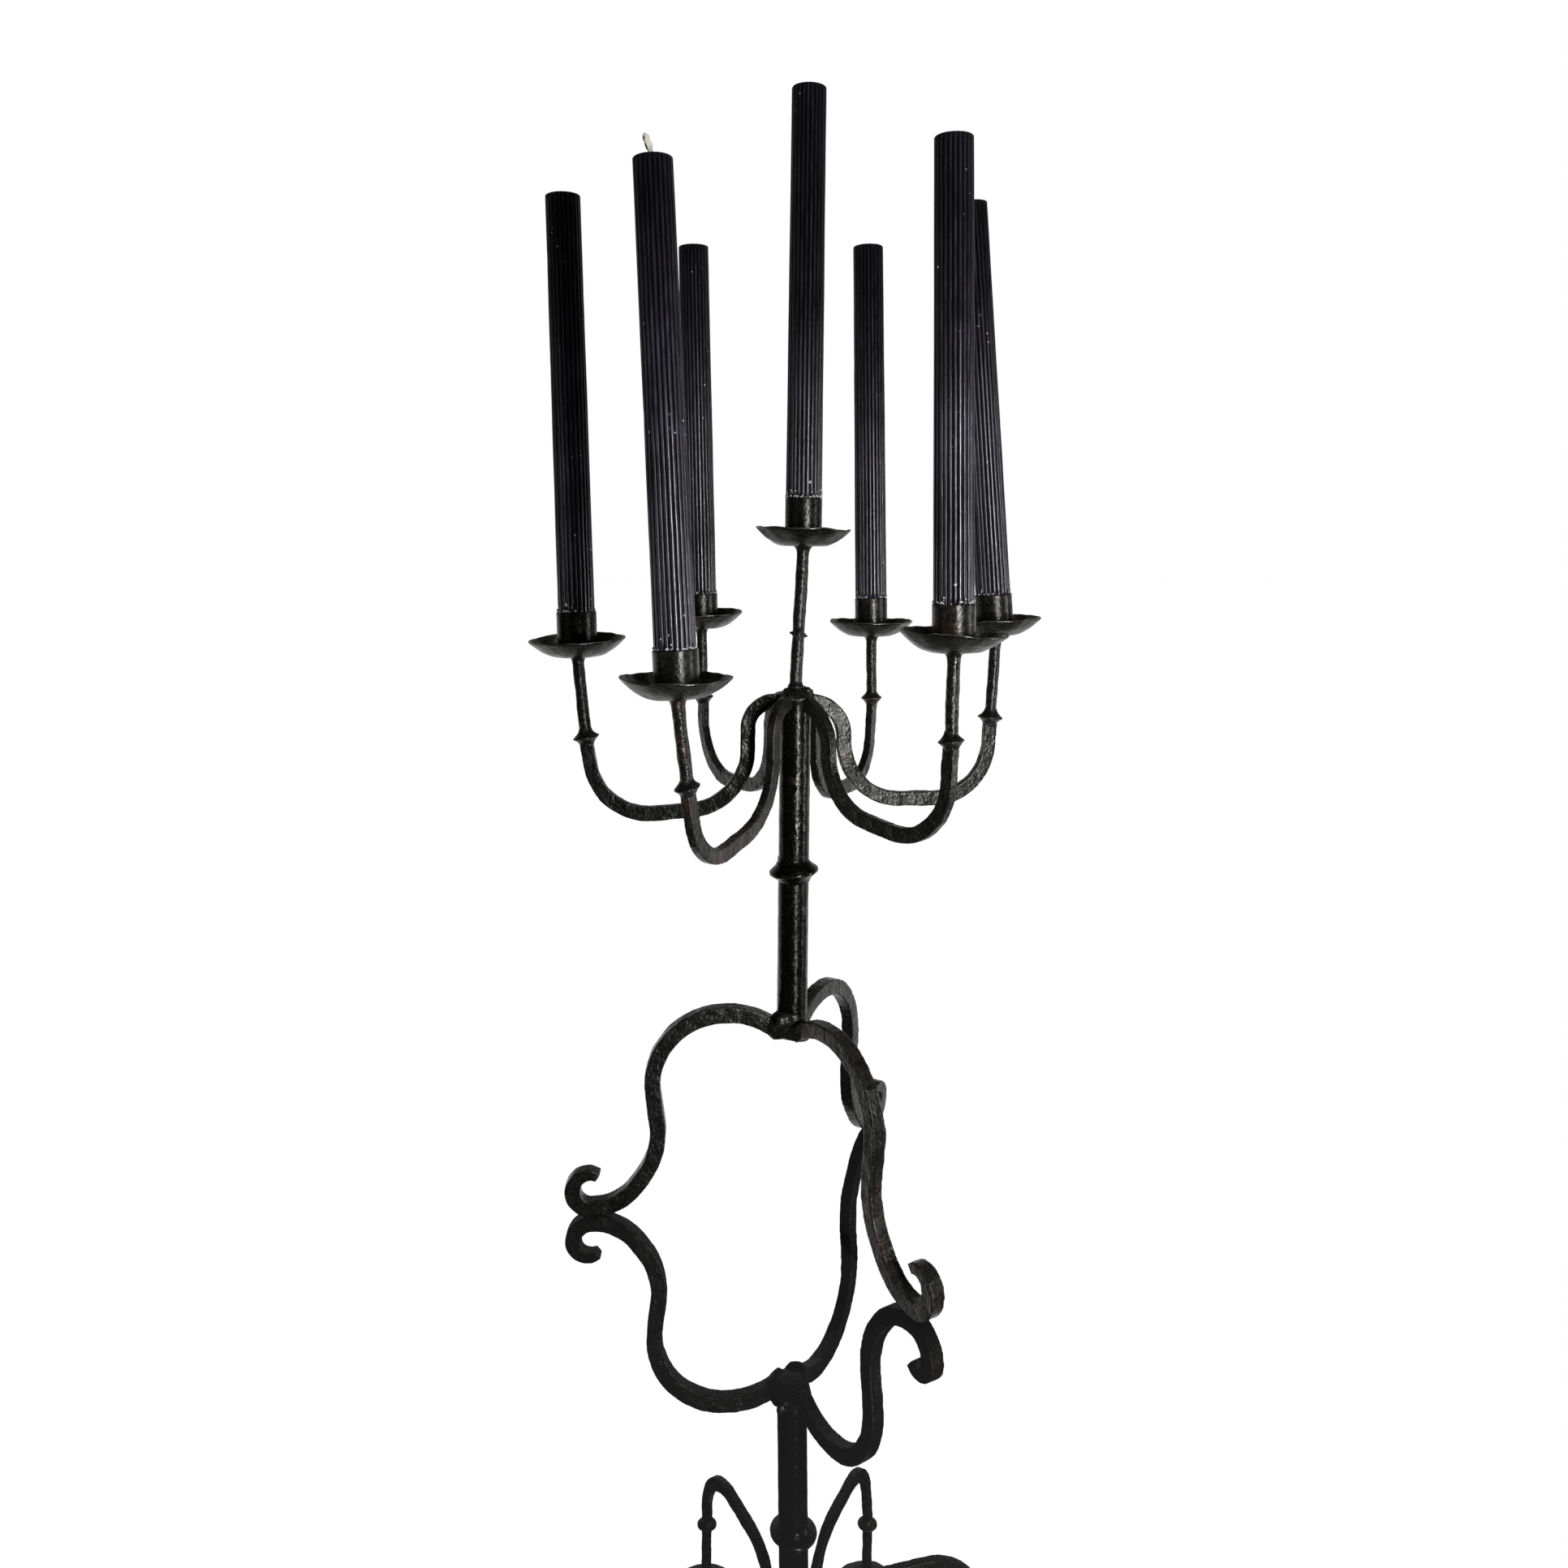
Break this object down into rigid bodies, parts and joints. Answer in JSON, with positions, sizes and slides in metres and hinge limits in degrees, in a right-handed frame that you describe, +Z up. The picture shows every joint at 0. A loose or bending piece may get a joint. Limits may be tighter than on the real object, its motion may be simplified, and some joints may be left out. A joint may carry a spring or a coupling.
{
  "type": "candle stand",
  "caption": "Forged iron candelabrum on scroll legs: a collared tube stem and curved arms with knots, drip pans and cups, and ribbed candles that lift out.",
  "frame": {"origin": "on the middle of the stem's foot, at table level", "axes": "+Z up along the object's height, the left leg points to -X, and -Y is the side that faces the picture"},
  "size_m": [0.336, 0.3106, 0.7292],
  "materials": {
    "iron": "forged black iron, hammered, waxed to a dull shine",
    "sheet": "thin forged black iron with brown warmth, hammered",
    "weld": "lumpy weld, blackened",
    "wax": "black wax, satin, slightly blue",
    "wick": "undyed cotton"
  },
  "bodies": {
    "stand": {"stem_tube": "iron", "stem_collar": "iron", "hub_plug": "weld", "leg_welds": "weld", "leg_left": "iron", "leg_right": "iron", "leg_rear": "iron", "crown_plug": "weld", "crown_weld": "weld", "arm_right": "iron", "arm_rear_right": "iron", "arm_rear_left": "iron", "arm_left": "iron", "arm_front_left": "iron", "arm_front_right": "iron", "knot_right": "iron", "knot_rear_right": "iron", "knot_rear_left": "iron", "knot_left": "iron", "knot_front_left": "iron", "knot_front_right": "iron", "centre_rod": "iron", "centre_knot": "iron", "pan_right": "sheet", "pan_rear_right": "sheet", "pan_rear_left": "sheet", "pan_left": "sheet", "pan_front_left": "sheet", "pan_front_right": "sheet", "pan_centre": "sheet", "cup_right": "sheet", "cup_rear_right": "sheet", "cup_rear_left": "sheet", "cup_left": "sheet", "cup_front_left": "sheet", "cup_front_right": "sheet", "cup_centre": "sheet"},
    "light_right": {"candle_right": "wax", "wick_right": "wick"},
    "light_rear_right": {"candle_rear_right": "wax", "wick_rear_right": "wick"},
    "light_rear_left": {"candle_rear_left": "wax", "wick_rear_left": "wick"},
    "light_left": {"candle_left": "wax", "wick_left": "wick"},
    "light_front_left": {"candle_front_left": "wax", "wick_front_left": "wick"},
    "light_front_right": {"candle_front_right": "wax", "wick_front_right": "wick"},
    "light_centre": {"candle_centre": "wax", "wick_centre": "wick"}
  },
  "joints": [
    {"name": "lift_right", "type": "slide", "parent": "stand", "child": "light_right", "axis": [-0.0727, -0.0102, 0.9973], "range_m": [0, 0.06]},
    {"name": "lift_rear_right", "type": "slide", "parent": "stand", "child": "light_rear_right", "axis": [-0.0107, 0.0159, 0.9998], "range_m": [0, 0.06]},
    {"name": "lift_rear_left", "type": "slide", "parent": "stand", "child": "light_rear_left", "axis": [-0.0162, -0.013, 0.9998], "range_m": [0, 0.06]},
    {"name": "lift_left", "type": "slide", "parent": "stand", "child": "light_left", "axis": [-0.0209, 0.0003, 0.9998], "range_m": [0, 0.06]},
    {"name": "lift_front_left", "type": "slide", "parent": "stand", "child": "light_front_left", "axis": [-0.0403, 0.0239, 0.9989], "range_m": [0, 0.06]},
    {"name": "lift_front_right", "type": "slide", "parent": "stand", "child": "light_front_right", "axis": [-0.0097, -0.0025, 0.9999], "range_m": [0, 0.06]},
    {"name": "lift_centre", "type": "slide", "parent": "stand", "child": "light_centre", "axis": [0.0122, 0, 0.9999], "range_m": [0, 0.06]}
  ]
}
